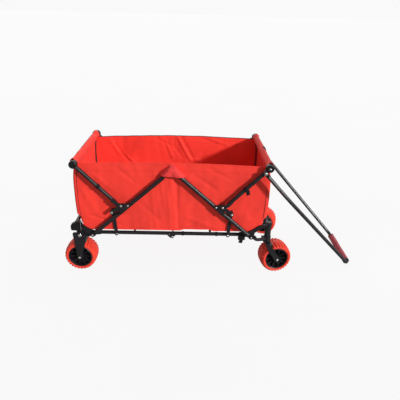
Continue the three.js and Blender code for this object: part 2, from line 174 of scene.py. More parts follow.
def section_sweep(path, outline, sides=None, ups=None):
    """A closed solid with one outline [(a, b)] at each point of a path; a is along side, b along up."""
    path = np.asarray(path, float)
    if sides is None:
        sides, ups = frames_along(path)
    rings = [p + np.outer([a for a, _ in outline], s) + np.outer([b for _, b in outline], u)
             for p, s, u in zip(path, sides, ups)]
    count, rows = len(outline), len(rings)
    faces = quads(rows, count, wrap_columns=True)
    faces.append(tuple(range(count)))
    faces.append(tuple((rows - 1) * count + i for i in reversed(range(count))))
    return np.vstack(rings), faces


def circle(radius, sides=10):
    return [(radius * math.cos(2 * math.pi * i / sides), radius * math.sin(2 * math.pi * i / sides))
            for i in range(sides)]


def cord_tube(path, radius, sides=10):
    """A round rod along a path."""
    return section_sweep(path, circle(radius, sides))


def strap(path, across, width, thickness=1.6):
    """Flat webbing along a path; across is the direction of its width."""
    path = np.asarray(path, float)
    across = np.asarray(across, float) / np.linalg.norm(across)
    tangents = np.gradient(path, axis=0)
    out = np.cross(tangents, across)
    out /= np.linalg.norm(out, axis=1, keepdims=True)
    half, rise = width / 2, thickness / 2
    outline = [(-half, -rise * 0.4), (-half + rise, -rise), (half - rise, -rise), (half, -rise * 0.4),
               (half, rise * 0.4), (half - rise, rise), (-half + rise, rise), (-half, rise * 0.4)]
    return section_sweep(path, outline, np.tile(across, (len(path), 1)), out)


def turned(profile, steps, relief=None):
    """A closed ring turned about the y axis; the profile is a closed loop of (radius, offset)."""
    points = []
    for i in range(steps):
        angle = 2 * math.pi * i / steps
        for radius, offset in profile:
            r = radius if relief is None else radius - relief(angle, radius, offset)
            points.append((r * math.cos(angle), offset, r * math.sin(angle)))
    faces = quads(steps, len(profile), wrap_rows=True, wrap_columns=True)
    return np.array(points), faces


def dome(x, z, radius, height, base_y, rings=4, steps=16):
    """A domed rivet face on the near side, standing out from |y| = base_y towards -y."""
    points = []
    for i in range(rings):
        lift = math.pi / 2 * i / rings
        for j in range(steps):
            angle = 2 * math.pi * j / steps
            r = radius * math.cos(lift)
            points.append((x + r * math.cos(angle), -base_y - height * math.sin(lift),
                           z + r * math.sin(angle)))
    points.append((x, -base_y - height, z))
    tip = len(points) - 1
    faces = quads(rings, steps, wrap_columns=True)
    faces += [((rings - 1) * steps + j, tip, (rings - 1) * steps + (j + 1) % steps) for j in range(steps)]
    faces.append(tuple(range(steps)))
    return np.array(points), faces


def rounded_box(low, high, bevel):
    """A box with chamfered edges."""
    (x0, y0, z0), (x1, y1, z1) = low, high
    tool = bmesh.new()
    bmesh.ops.create_cube(tool, size=1)
    for vertex in tool.verts:
        vertex.co = Vector(((x0 + x1) / 2 + vertex.co.x * (x1 - x0),
                            (y0 + y1) / 2 + vertex.co.y * (y1 - y0),
                            (z0 + z1) / 2 + vertex.co.z * (z1 - z0)))
    bmesh.ops.bevel(tool, geom=tool.edges[:], offset=bevel, segments=2, affect="EDGES", profile=0.6)
    tool.verts.index_update()
    points = np.array([vertex.co[:] for vertex in tool.verts])
    faces = [tuple(v.index for v in face.verts) for face in tool.faces]
    tool.free()
    return points, faces


def mesh(name, part, material, body=None, sharp=38):
    """Makes a part into an object, in metres in the row frame, that rides on a body."""
    points, faces = part
    placed = np.asarray(points, float) * MM + (SHIFT_X, 0, 0)
    data = bpy.data.meshes.new(name)
    data.from_pydata(placed.tolist(), [], faces)
    data.update()
    tool = bmesh.new()
    tool.from_mesh(data)
    bmesh.ops.recalc_face_normals(tool, faces=tool.faces)
    tool.to_mesh(data)
    tool.free()
    data.shade_smooth()
    data.set_sharp_from_angle(angle=math.radians(sharp))
    data.materials.append(material)
    made = bpy.data.objects.new(name, data)
    bpy.context.scene.collection.objects.link(made)
    if body:
        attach(made, body)
    return made


# ---- materials -------------------------------------------------------------------------------
class Surface:
    """A node material with object coordinates, built up by a few calls."""

    def __init__(self, name, roughness, metallic=0.0, **sockets):
        self.material = bpy.data.materials.new(name)
        self.material.use_nodes = True
        self.tree = self.material.node_tree
        self.shader = self.tree.nodes["Principled BSDF"]
        self.shader.inputs["Roughness"].default_value = roughness
        self.shader.inputs["Metallic"].default_value = metallic
        for socket, value in sockets.items():
            self.shader.inputs[socket.replace("_", " ")].default_value = value
        self.coordinates = self.tree.nodes.new("ShaderNodeTexCoord").outputs["Object"]

    def node(self, kind, **inputs):
        """A new node; each input is a value, or a socket to link from."""
        made = self.tree.nodes.new(kind)
        for name, value in inputs.items():
            socket = made.inputs[name.replace("_", " ")]
            if isinstance(value, bpy.types.NodeSocket):
                self.tree.links.new(value, socket)
            else:
                socket.default_value = value
        return made

    def noise(self, scale, detail=3.0, roughness=0.55):
        made = self.node("ShaderNodeTexNoise", Vector=self.coordinates, Scale=scale, Detail=detail,
                         Roughness=roughness)
        return made.outputs["Fac"]

    def cells(self, scale):
        made = self.node("ShaderNodeTexVoronoi", Vector=self.coordinates, Scale=scale)
        return made.outputs["Distance"]

    def bands(self, direction, period):
        """Waves along one direction with the given period in metres."""
        made = self.node("ShaderNodeTexWave", Vector=self.coordinates, Scale=math.pi / (10 * period))
        made.bands_direction = direction
        return made.outputs["Fac"]

    def ramp(self, factor, stops):
        """Colours at places along a factor: stops are (place, colour)."""
        made = self.tree.nodes.new("ShaderNodeValToRGB")
        self.tree.links.new(factor, made.inputs["Fac"])
        elements = made.color_ramp.elements
        while len(elements) < len(stops):
            elements.new(0.5)
        for element, (position, colour) in zip(elements, stops):
            element.position = position
            element.color = (*colour, 1)
        return made.outputs["Color"]

    def product(self, a, b):
        made = self.tree.nodes.new("ShaderNodeMath")
        made.operation = "MULTIPLY"
        self.tree.links.new(a, made.inputs[0])
        self.tree.links.new(b, made.inputs[1])
        return made.outputs["Value"]

    def multiplied(self, colour, other):
        made = self.tree.nodes.new("ShaderNodeMix")
        made.data_type = "RGBA"
        made.blend_type = "MULTIPLY"
        made.inputs["Factor"].default_value = 1.0
        self.tree.links.new(colour, made.inputs["A"])
        self.tree.links.new(other, made.inputs["B"])
        return made.outputs["Result"]

    def colour(self, socket):
        self.tree.links.new(socket, self.shader.inputs["Base Color"])

    def two_tones(self, factor, low, high):
        """Base colour from low to high over the middle of the factor's range."""
        self.colour(self.ramp(factor, [(0.3, low), (0.7, high)]))

    def roughness(self, factor, low, high):
        spread = self.node("ShaderNodeMapRange", Value=factor, To_Min=low, To_Max=high)
        self.tree.links.new(spread.outputs["Result"], self.shader.inputs["Roughness"])

    def bump(self, *layers):
        """Layers are (height, strength, distance in metres), laid one over the other."""
        normal = None
        for height, strength, distance in layers:
            made = self.node("ShaderNodeBump", Height=height, Strength=strength, Distance=distance)
            if normal is not None:
                self.tree.links.new(normal, made.inputs["Normal"])
            normal = made.outputs["Normal"]
        self.tree.links.new(normal, self.shader.inputs["Normal"])


def tinted(colour, factor):
    """A colour made lighter or darker."""
    return tuple(min(channel * factor, 1.0) for channel in colour)


CANVAS_RED = (0.89, 0.043, 0.028)
FLAP_RED = (0.78, 0.046, 0.044)
THREAD_PITCH = 0.0011            # metres between the threads of the canvas
RIB_PITCH = 0.0016               # and between the ribs of the webbing


def canvas(name, threads, colour=CANVAS_RED, dark=0.84):
    """Coated polyester canvas; threads are the two directions that the weave runs along."""
    surface = Surface(name, 0.74, Sheen_Weight=0.07, Sheen_Roughness=0.45, Specular_IOR_Level=0.28)
    mottle = surface.noise(7.0, 5.0, 0.6)
    base = surface.ramp(mottle, [(0.28, tinted(colour, dark)), (0.52, colour), (0.78, tinted(colour, 1.08))])
    fibre = surface.noise(900.0, 2.0)
    fleck = surface.ramp(fibre, [(0.3, (0.9, 0.86, 0.86)), (0.65, (1, 1, 1))])
    surface.colour(surface.multiplied(base, fleck))
    weave = surface.product(surface.bands(threads[0], THREAD_PITCH), surface.bands(threads[1], THREAD_PITCH))
    creases = surface.noise(26.0, 4.0, 0.6)
    surface.bump((creases, 0.5, 0.0026), (weave, 0.25, 0.0003))
    surface.roughness(mottle, 0.68, 0.82)
    return surface.material


def thread(name, colour):
    """Twisted sewing thread or bound edge tape."""
    surface = Surface(name, 0.8, Sheen_Weight=0.1, Sheen_Roughness=0.4)
    surface.two_tones(surface.noise(420.0, 2.0), tinted(colour, 0.7), tinted(colour, 1.3))
    surface.bump((surface.noise(1300.0, 2.0), 0.5, 0.0003))
    return surface.material


def webbing():
    """Ribbed black strap webbing."""
    surface = Surface("black_webbing", 0.8, Sheen_Weight=0.05, Sheen_Roughness=0.5, Specular_IOR_Level=0.15)
    ribs = surface.product(surface.bands("X", RIB_PITCH), surface.bands("Z", RIB_PITCH))
    surface.two_tones(surface.noise(300.0), (0.005, 0.0045, 0.0055), (0.012, 0.011, 0.013))
    surface.bump((ribs, 0.5, 0.0005))
    return surface.material


def powder_coat():
    """Dark charcoal powder coating with a fine orange peel."""
    surface = Surface("charcoal_powder_coat", 0.42, Specular_IOR_Level=0.32, Coat_Weight=0.04,
                      Coat_Roughness=0.25)
    surface.two_tones(surface.noise(24.0, 4.0), (0.008, 0.0072, 0.0085), (0.015, 0.0135, 0.016))
    surface.roughness(surface.noise(60.0, 3.0), 0.34, 0.52)
    surface.bump((surface.noise(900.0, 2.0), 0.18, 0.0002))
    return surface.material


def handle_paint():
    """Glossier black paint, with long grey streaks painted along the rods as highlights."""
    surface = Surface("handle_paint", 0.26, Specular_IOR_Level=0.5, Coat_Weight=0.2, Coat_Roughness=0.12)
    painted_highlight_streaks = surface.noise(16.0, 3.0, 0.55)
    # painted highlight: the lighter grey stops put pale streaks into the base colour in place of highlights
    surface.colour(surface.ramp(painted_highlight_streaks, [(0.35, (0.010, 0.009, 0.011)), (0.62, (0.020, 0.019, 0.021)),
                                          (0.80, (0.040, 0.039, 0.040))]))
    surface.roughness(surface.noise(70.0, 3.0), 0.28, 0.42)
    surface.bump((surface.noise(700.0, 2.0), 0.12, 0.0002))
    return surface.material


def moulded(name, low, high, rough=0.45):
    """Matt moulded plastic with a fine grain."""
    surface = Surface(name, rough, Specular_IOR_Level=0.25)
    surface.two_tones(surface.noise(40.0, 3.0), low, high)
    surface.roughness(surface.noise(90.0, 2.0), rough - 0.07, rough + 0.1)
    surface.bump((surface.noise(1100.0, 2.0), 0.3, 0.0002))
    return surface.material


def foam_tyre():
    """Moulded red foam tread with closed pores and slightly dusty faces."""
    surface = Surface("tyre_foam", 0.62, Specular_IOR_Level=0.35, Sheen_Weight=0.08, Sheen_Roughness=0.5)
    dust = surface.noise(34.0, 5.0, 0.65)
    base = surface.ramp(dust, [(0.3, (0.64, 0.036, 0.017)), (0.55, (0.78, 0.046, 0.022)),
                               (0.8, (0.88, 0.070, 0.038))])
    pores = surface.ramp(surface.cells(600.0), [(0.0, (0.82, 0.8, 0.8)), (0.35, (1, 1, 1))])
    surface.colour(surface.multiplied(base, pores))
    surface.bump((surface.noise(120.0, 3.0), 0.3, 0.0008), (surface.cells(600.0), 0.25, 0.0003))
    return surface.material


def foam_grip():
    """Crimson grip foam with fine open pores."""
    surface = Surface("grip_foam", 0.8, Sheen_Weight=0.2, Sheen_Roughness=0.5)
    surface.two_tones(surface.noise(50.0, 4.0), (0.27, 0.010, 0.026), (0.46, 0.024, 0.045))
    surface.bump((surface.cells(900.0), 0.5, 0.0005))
    return surface.material


def zinc():
    """Zinc-plated steel, brushed and a little dulled."""
    surface = Surface("zinc_steel", 0.3, metallic=1.0)
    surface.two_tones(surface.noise(200.0, 3.0), (0.50, 0.48, 0.46), (0.80, 0.78, 0.76))
    surface.roughness(surface.noise(350.0, 3.0), 0.22, 0.42)
    surface.bump((surface.noise(500.0, 2.0), 0.1, 0.0002))
    return surface.material


FLOOR_GLOW = 0.90


def floor_material():
    """A dark floor with an even, nearly white glow of its own."""
    surface = Surface("studio_floor", 0.85, Specular_IOR_Level=0.2)
    surface.two_tones(surface.noise(1.4, 2.0), (0.09, 0.09, 0.09), (0.11, 0.11, 0.11))
    surface.shader.inputs["Emission Color"].default_value = (1.0, 1.0, 1.0, 1)
    surface.shader.inputs["Emission Strength"].default_value = FLOOR_GLOW
    return surface.material


SIDE_CANVAS = canvas("canvas_side", ("X", "Z"))
END_CANVAS = canvas("canvas_end", ("Y", "Z"))
FLOOR_CANVAS = canvas("canvas_floor", ("X", "Y"), dark=0.8)
FLAP_CANVAS = canvas("canvas_flap", ("X", "Z"), colour=FLAP_RED)
PIPING = thread("dark_piping", (0.030, 0.006, 0.014))
BINDING = thread("black_binding", (0.014, 0.012, 0.014))
STITCH = thread("red_stitch", (0.42, 0.012, 0.012))
WEBBING = webbing()
POWDER = powder_coat()
HANDLE_PAINT = handle_paint()
PLASTIC = moulded("black_plastic", (0.005, 0.005, 0.0055), (0.011, 0.010, 0.012))
HUB_PLASTIC = moulded("hub_plastic", (0.005, 0.004, 0.006), (0.013, 0.011, 0.015), 0.4)
TYRE_FOAM = foam_tyre()
GRIP_FOAM = foam_grip()
ZINC = zinc()


# ---- frame nodes that stay -------------------------------------------------------------------
def dress(node, material, angle=40):
    """Gives a CAD node its material; edges sharper than the angle, in degrees, stay sharp."""
    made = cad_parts[node]
    made.data.materials.clear()
    made.data.materials.append(material)
    made.data.shade_smooth()
    made.data.set_sharp_from_angle(angle=math.radians(angle))


def dress_frame():
    powder = ["rear_cross_tube", "front_cross_tube", "floor_crossbar_rear", "floor_crossbar_front",
              "top_bar_rear", "top_bar_front"]
    pairs = ["rear_bracket", "rear_fork", "front_arm", "caster_fork", "rail_rear", "rail_front",
             "long_rear", "long_front", "upper_rear", "upper_front", "strut_rear", "strut_front"]
    sides = ("near", "far")
    for node in powder + [f"{pair}_{side}" for pair in pairs for side in sides]:
        dress(node, POWDER)
    for pair in ("rear_corner_block", "corner_cap_rear", "corner_cap_front"):
        for side in sides:
            dress(f"{pair}_{side}", PLASTIC, 30)
    for pair in ("rear_axle", "caster_axle", "handle_pivot_pin"):
        for side in sides:
            dress(f"{pair}_{side}", ZINC)
    dress("centre_hinge_rod", ZINC)
    dress("handle_tube", HANDLE_PAINT)


# ---- basket ----------------------------------------------------------------------------------
WALL_TOP_END = 610.5           # height of the near rim at the corner caps
FAR_RIM_Z = 603                # and of the far rim
CORNER_LAP = 6.0               # the end panels lap this far over the side panels
CORNER_RADIUS = 12
BASKET_FOOT_X = 417.0          # |x| where the floor ends and the panels turn up
ARC_RADIUS = 60.0              # radius of that turn
FLOOR_Z = 247.0
HEM_DEPTH = 42.0
END_X = 477                    # |x| of the end panels at the corner blocks
END_STEP = 5                   # they stand out this much more above the blocks
END_BELLY, BELLY_Z = 15, 430   # and swell this much more at mid height
END_TOP_Z, END_TURN_Z = 601, 306
LIP = 5                        # the side panels end this far inside the end panels' laps
RELIEF_OUT = 3.6               # folds stand out from the middle surface at most this far
RELIEF_IN = 3.3                # and go in this far behind the rails,
RELIEF_IN_ABOVE = 3.5          # with this much more above them


def end_plane(z):
    """|x| of the end panel at a height: drawn in over the corner blocks, full at mid height."""
    if z > BELLY_Z:
        belly = END_BELLY * (1 - ((z - BELLY_Z) / 175) ** 4)
    else:
        belly = END_BELLY * (1 - ((BELLY_Z - z) / 200) ** 2)
    return END_X + (END_STEP + max(belly, 0)) * smooth(312, 336, z)


def end_reach(z):
    """|y| of the end panel's laps at a height."""
    return 250.6 + 1.5 * smooth(322, 340, z)


def wall_top(x, side):
    """Height of the rim: the near one arched over the middle, the far one highest in front of it."""
    if side == "near":
        arch = math.cos(math.pi / 2 * min(abs(x) / 475, 1))
        return WALL_TOP_END + 12 * arch + 1.2 * wrinkle(x, 0, 70, 1, 3.1)
    arch = math.cos(math.pi / 2 * min(abs(x - 60) / 540, 1))
    return FAR_RIM_Z + 16 * arch + 1.6 * wrinkle(x, 0, 80, 1, 9.7)


def wall_bottom(x, side):
    """Height of a side panel's lower edge: along the rail, then up round the turn at each end. A stretch
    of the near one, in its front half, is drawn up off the rail."""
    if abs(x) > BASKET_FOOT_X:
        step = min((abs(x) - BASKET_FOOT_X) / ARC_RADIUS, 1)
        return FLOOR_Z - 1 + ARC_RADIUS * (1 - math.sqrt(max(1 - step * step, 0)))
    low = 247.0 + 0.8 * wrinkle(x, 0, 40, 1, 5.5)
    if side == "near":
        low += 7.5 * smooth(38, 62, x) * (1 - smooth(190, 222, x))
    return low + (FLOOR_Z - 1 - low) * smooth(BASKET_FOOT_X - 40, BASKET_FOOT_X, abs(x))


def distance_to(x, z, a, b):
    """Signed distance from the line a-b, positive to its right as seen from a, and the share along it."""
    dx, dz = b[0] - a[0], b[1] - a[1]
    length = math.hypot(dx, dz)
    share = ((x - a[0]) * dx + (z - a[1]) * dz) / length ** 2
    return ((x - a[0]) * dz - (z - a[1]) * dx) / length, share


def fold_line(x, z, a, b, height, width):
    """A soft ridge along the line a-b that dies out past its ends."""
    off, share = distance_to(x, z, a, b)
    ends = smooth(-0.12, 0.12, share) * (1 - smooth(0.85, 1.15, share))
    return height * math.exp(-(off / width) ** 2) * ends


def near_relief(x, z):
    """Outward relief of the near panel: a sharp valley under the flap with a ridge on each side, small
    pleats to its rear, and slack folds given as (start, end, height, width)."""
    centre = 30 - (z - 250) * 0.028 + 3 * wrinkle(z, 0, 60, 1, 1.2)
    below_flap = 1 - smooth(520, 590, z)
    relief = -5.0 * math.exp(-abs(x - centre) / 13) * below_flap
    relief += 2.4 * math.exp(-((x - centre + 34) / 18) ** 2) * below_flap
    relief += 1.4 * math.exp(-((x - centre - 40) / 26) ** 2) * below_flap
    relief += 3.4 * wrinkle(x, z, 90, 230, 2.7) + 2.0 * wrinkle(x, z, 34, 70, 4.4)
    pleated = smooth(-170, -60, x) * (1 - smooth(10, 30, x))
    relief += 1.6 * wrinkle(x + 0.12 * z, z, 21, 240, 6.1) * pleated * below_flap
    folds = [((-430, 330), (-250, 268), -2.6, 10), ((-330, 290), (-240, 330), 2.4, 8),
             ((-60, 540), (-250, 360), 2.2, 20), ((70, 540), (270, 330), 2.6, 20),
             ((110, 560), (230, 480), -2.4, 12), ((60, 330), (240, 262), 2.2, 13),
             ((330, 300), (440, 380), -2.4, 12), ((300, 470), (420, 560), 2.0, 14),
             ((-460, 480), (-380, 330), 2.4, 16), ((-280, 600), (-190, 520), -1.8, 11),
             ((180, 600), (300, 540), -2.0, 11), ((-180, 420), (-60, 300), -2.0, 14),
             ((150, 420), (260, 300), -1.8, 12), ((-400, 560), (-300, 470), 1.8, 12)]
    return relief + sum(fold_line(x, z, *fold) for fold in folds)


def far_relief(x, z):
    """Outward relief of the far panel; its inner face is what the camera sees."""
    relief = 3.0 * wrinkle(x, z, 95, 190, 7.7) + 2.2 * wrinkle(x, z, 36, 60, 8.4)
    folds = [((8, 612), (85, 470), -5.2, 9), ((30, 612), (108, 466), 4.0, 10),
             ((85, 472), (150, 468), -3.4, 8),
             ((-60, 575), (-20, 480), -3.4, 9), ((-400, 590), (-350, 500), -3.2, 10),
             ((-370, 560), (-290, 450), 3.2, 9), ((-340, 520), (-250, 440), -2.6, 8),
             ((-120, 600), (-40, 560), 2.6, 9), ((-20, 560), (40, 480), 2.4, 9),
             ((150, 605), (260, 575), 2.4, 8), ((210, 600), (330, 560), -2.4, 9)]
    return relief + sum(fold_line(x, z, *fold) for fold in folds)


def side_grid(side):
    """Middle surface of a side panel: rows from bottom to top, columns from rear to front."""
    relief = near_relief if side == "near" else far_relief
    sign = SIDE_SIGN[side]
    columns, rows = 281, 101
    grid = np.zeros((rows, columns, 3))
    for j in range(columns):
        u = -1 + 2 * j / (columns - 1)
        for i in range(rows):
            v = i / (rows - 1)
            guess = u * (end_plane(250 + 360 * v) - CORNER_LAP - LIP)
            z = wall_bottom(guess, side) + v * (wall_top(guess, side) - wall_bottom(guess, side))
            x = u * (end_plane(z) - CORNER_LAP - LIP)
            shift = relief(x, z) * smooth(-0.02, 0.06, v)
            shift *= 1 - smooth(370, 392, abs(x)) * (1 - smooth(300, 325, z))
            deepest = RELIEF_IN + RELIEF_IN_ABOVE * smooth(262, 275, z) * (1 - smooth(400, 450, abs(x)))
            shift = min(max(shift, -deepest), RELIEF_OUT)
            grid[i, j] = (x, sign * (WALL_Y + shift), z)
    return grid


def on_wall(grid, x, z, lift, side):
    """A point on the outer (lift > 0) or inner face of a side panel."""
    away = (grid[:, :, 0] - x) ** 2 + (grid[:, :, 2] - z) ** 2
    i, j = np.unravel_index(np.argmin(away), away.shape)
    sign = SIDE_SIGN[side]
    return np.array((x, grid[i, j, 1] + sign * (FABRIC / 2 + lift), z))


def stitches(path, length=5.0, gap=3.0, radius=0.55):
    """A row of short thread stitches along a path."""
    path = np.asarray(path, float)
    steps = np.linalg.norm(np.diff(path, axis=0), axis=1)
    run = np.concatenate([[0], np.cumsum(steps)])
    parts, begin = [], gap
    while begin + length < run[-1]:
        places = (begin, begin + length / 2, begin + length)
        line = [np.array([np.interp(s, run, path[:, k]) for k in range(3)]) for s in places]
        parts.append(section_sweep(line, circle(radius, 5)))
        begin += length + gap
    return merge(*parts)


def squash_with_basket(piece):
    """Gives the piece a mesh of its own."""
    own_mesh(piece)


def side_panel(side):
    """A side panel with its hem, rolled edge and stitching. Returns the panel's middle surface."""
    grid = side_grid(side)
    sign = SIDE_SIGN[side]
    panel = mesh(f"side_panel_{side}", thick_sheet(grid), SIDE_CANVAS, "wall_rear")
    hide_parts(f"basket_side_{side}")

    columns = grid.shape[1]
    hem_rows = 9
    hem = np.zeros((hem_rows, columns, 3))
    top_row = grid[-1]
    for j in range(columns):
        for i in range(hem_rows):
            z = top_row[j, 2] - HEM_DEPTH * (1 - i / (hem_rows - 1))
            near_row = int(np.argmin(np.abs(grid[:, j, 2] - z)))
            swell = 0.5 + 0.5 * math.sin(math.pi * i / (hem_rows - 1))
            lift = sign * (FABRIC / 2 + 0.4 + swell * 0.5)
            hem[i, j] = (grid[near_row, j, 0], grid[near_row, j, 1] + lift, z)
    band = mesh(f"hem_band_{side}", thick_sheet(hem, 0.9), SIDE_CANVAS, "wall_rear")

    edge = [top_row[j] + (0, 0, 0.6) for j in range(0, columns, 2)]
    roll = mesh(f"hem_roll_{side}", cord_tube(edge, 2.1, 8), SIDE_CANVAS if side == "near" else PIPING,
                "wall_rear")
    rows = []
    for drop, lift in ((HEM_DEPTH - 2.5, 1.1), (5.0, 1.1)):
        rows.append(stitches([on_wall(grid, top_row[j, 0], top_row[j, 2] - drop, lift, side)
                              for j in range(2, columns - 2, 3)]))
    rows.append(stitches([on_wall(grid, top_row[j, 0], top_row[j, 2] - HEM_DEPTH + 2.5, -FABRIC - 0.3, side)
                          for j in range(2, columns - 2, 3)]))
    rows.append(stitches([on_wall(grid, grid[3, j, 0], grid[3, j, 2] + 5, 0.3, side)
                          for j in range(26, columns - 26, 3)]))
    seams = mesh(f"side_stitching_{side}", merge(*rows), STITCH, "wall_rear")
    for piece in (panel, band, roll, seams):
        squash_with_basket(piece)
    return grid


def end_row(x_plane, z, y_flat, radius, end, drop):
    """One row of the end panel: the near lap, the round corner, across, and the far corner and lap."""
    path = []
    lap_steps, turn_steps, cross_steps = 3, 6, 60
    for k in range(lap_steps):
        path.append((x_plane - radius - CORNER_LAP * (1 - k / lap_steps), -y_flat))
    for k in range(turn_steps + 1):
        angle = math.pi / 2 * k / turn_steps
        path.append((x_plane - radius + radius * math.sin(angle),
                     -(y_flat - radius) - radius * math.cos(angle)))
    for k in range(1, cross_steps):
        y = (y_flat - radius) * (-1 + 2 * k / cross_steps)
        path.append((x_plane, y))
    path += [(x, -y) for x, y in reversed(path[:lap_steps + turn_steps + 1])]
    row = []
    for x, y in path:
        middle = math.cos(math.pi / 2 * min(abs(y) / (y_flat - radius), 1)) if abs(y) < y_flat - radius else 0
        bulge = drop * (4.0 * middle + 2.2 * middle ** 0.5 * wrinkle(y, z, 70, 110, end * 3.3 + 0.7))
        row.append((end * (x + bulge), y, z))
    return row


def end_grid(end):
    """Middle surface of an end panel, from the top bar down and round the turn into the floor."""
    rows = []
    wall_steps, turn_steps = 43, 14
    for k in range(wall_steps + 1):
        z = END_TOP_Z - (END_TOP_Z - END_TURN_Z) * k / wall_steps
        bulge = smooth(END_TOP_Z, 560, z) if z > 336 else 0.4
        rows.append(end_row(end_plane(z), z, end_reach(z), CORNER_RADIUS, end, bulge))
    for k in range(1, turn_steps + 1):
        angle = math.pi / 2 * k / turn_steps
        x_plane = END_X - ARC_RADIUS * (1 - math.cos(angle))
        z = END_TURN_Z - ARC_RADIUS * math.sin(angle)
        rows.append(end_row(x_plane, z, 250.4, CORNER_RADIUS, end, 0.3 * (1 - k / turn_steps)))
    return np.array(rows)


def sleeve_grid(end):
    """The top of the end panel, wrapped over the top bar and sewn below it."""
    profile = [(479.6, 584), (478.2, 592), (474.2, 600), (470.6, 608), (469.8, 616), (472.4, 625),
               (477.6, 633), (483.5, 637.0), (489.0, 634.0), (493.4, 627), (494.8, 618), (492.4, 608),
               (487.4, 599), (485.0, 591), (484.3, 584)]
    columns = 64
    grid = np.zeros((len(profile), columns, 3))
    for j in range(columns):
        y = -259.0 + 518 * j / (columns - 1)
        bunch = smooth(222, 254, abs(y))
        for i, (x, z) in enumerate(profile):
            if z > 606:
                x = CAP_X + (x - CAP_X) * (1 + (0.75 if x < CAP_X else 0.25) * bunch)
                z = TOP_BAR_Z + (z - TOP_BAR_Z) * (1 + 0.17 * bunch)
            loose = 1 if 3 <= i <= 11 else 0.3
            slack = loose * 1.3 * wrinkle(y, i * 8, 46, 30, end * 2.1 + 5)
            grid[i, j] = (end * (x + slack), y, z + slack * 0.7)
    return grid


def end_panel(half):
    """An end panel with its sleeve over the top bar, piping, corner seams and bound inner edges."""
    end = END_SIGN[half]
    body = f"wall_{half}"
    grid = end_grid(end)
    panel = mesh(f"end_panel_{half}", thick_sheet(grid), END_CANVAS, body)
    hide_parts(f"basket_wall_{half}")
    sleeve_points = sleeve_grid(end)
    sleeve = mesh(f"bar_sleeve_{half}", thick_sheet(sleeve_points, 1.3), END_CANVAS, body)

    ridge = sleeve_points[9] + (end * 1.1, 0, 0.6)
    pipe = mesh(f"sleeve_piping_{half}", cord_tube(ridge, 1.5, 8), PIPING, body)

    rows = []
    for row, lift in ((1, -1.0), (13, 1.0)):
        rows.append(stitches(sleeve_points[row][1:-1] + (end * lift, 0, 0)))
    seams = mesh(f"end_stitching_{half}", merge(*rows), STITCH, body)

    seam_parts, binding_parts = [], []
    for side in (-1, 1):
        heights = np.linspace(598, 322, 60)
        seam_parts.append(cord_tube(
            [(end * (end_plane(z) - CORNER_RADIUS - CORNER_LAP), side * (end_reach(z) + 0.7), z)
             for z in heights], 1.1, 6))
        edge = []
        for z in np.linspace(630, 330, 70):
            wave = 1.6 * wrinkle(z, 0, 34, 1, 6.6 + end + side)
            edge.append((end * (end_plane(z) - 6.5 + wave), side * (246.6 + 0.4 * wave), z))
        binding_parts.append(strap(edge, (end * 0.75, -side * 0.66, 0), 7.0, 2.2))
    corner_seams = mesh(f"corner_seams_{half}", merge(*seam_parts), PIPING, body)
    binding = mesh(f"corner_binding_{half}", merge(*binding_parts), BINDING, body)
    for piece in (panel, corner_seams):
        squash_with_basket(piece)


FLAP_RISE = 37.5               # the flap stands out this far over the long tubes


def flap_grid(side):
    """A pocket over the crossing of the long tubes, sewn to the panel on its two slanted edges."""
    rows, columns = 30, 49
    grid = np.zeros((rows, columns, 3))
    sign = SIDE_SIGN[side]
    for i in range(rows):
        t = i / (rows - 1)
        left, right = -4 - 57 * t, 4 + 64 * t
        for j in range(columns):
            s = -1 + 2 * j / (columns - 1)
            x = left + (right - left) * (s + 1) / 2
            z = wall_top(0, side) - 2 - (58 + 4 * s) * t + 3.0 * math.sin(math.pi * (s + 1) / 2) * t
            over = (1 - abs(s) ** 8) * smooth(0.0, 0.42, t)
            sag = 4.5 * math.exp(-(x / 13) ** 2) * smooth(0.45, 1.0, t)
            curl = 1.6 * smooth(0.9, 1.0, t)
            out = 1.6 + FLAP_RISE * over - sag - curl + 0.7 * wrinkle(x, z, 16, 20, 1.9)
            grid[i, j] = (x, sign * (WALL_Y + out), z)
    return grid


def flap(side):
    """The flap, its rolled lower edge and its stitching."""
    grid = flap_grid(side)
    pocket = mesh(f"apex_flap_{side}", thick_sheet(grid, 1.4), FLAP_CANVAS, "wall_rear")
    roll_path = grid[-1, 1:-1]
    sign = SIDE_SIGN[side]
    roll = cord_tube(roll_path + (0, sign * 0.2, -0.4), 1.7, 8)
    seams = [stitches(grid[1:, 1] + (0, sign * 1.0, 0)), stitches(grid[1:, -2] + (0, sign * 1.0, 0)),
             stitches(grid[-5, 2:-2] + (0, sign * 0.9, 0))]
    edge = mesh(f"flap_edge_{side}", roll, FLAP_CANVAS, "wall_rear")
    sewn = mesh(f"flap_stitching_{side}", merge(*seams), STITCH, "wall_rear")
    for piece in (pocket, edge, sewn):
        squash_with_basket(piece)


def inner_patch(side, grid):
    """The stitched patch that backs the flap on the inside of the panel."""
    corners = [(-44, 604), (24, 604), (24, 566), (-44, 566), (-44, 604)]
    path = []
    for (xa, za), (xb, zb) in zip(corners, corners[1:]):
        for k in range(12):
            path.append(on_wall(grid, xa + (xb - xa) * k / 12, za + (zb - za) * k / 12, -FABRIC - 0.3, side))
    seam = stitches(path, 4.0, 2.5, 0.7)
    middle = [on_wall(grid, -8 + 1.5 * wrinkle(z, 0, 20, 1, 2), z, -FABRIC - 0.4, side)
              for z in np.linspace(606, 560, 16)]
    patch = mesh(f"patch_stitching_{side}", merge(seam, cord_tube(middle, 0.9, 6)), STITCH, "wall_rear")
    squash_with_basket(patch)


FLOOR_HALF_WIDTH = 249.1       # the floor cloth reaches this |y|, and its edge turns up there
EDGE_TURN_UP = 9


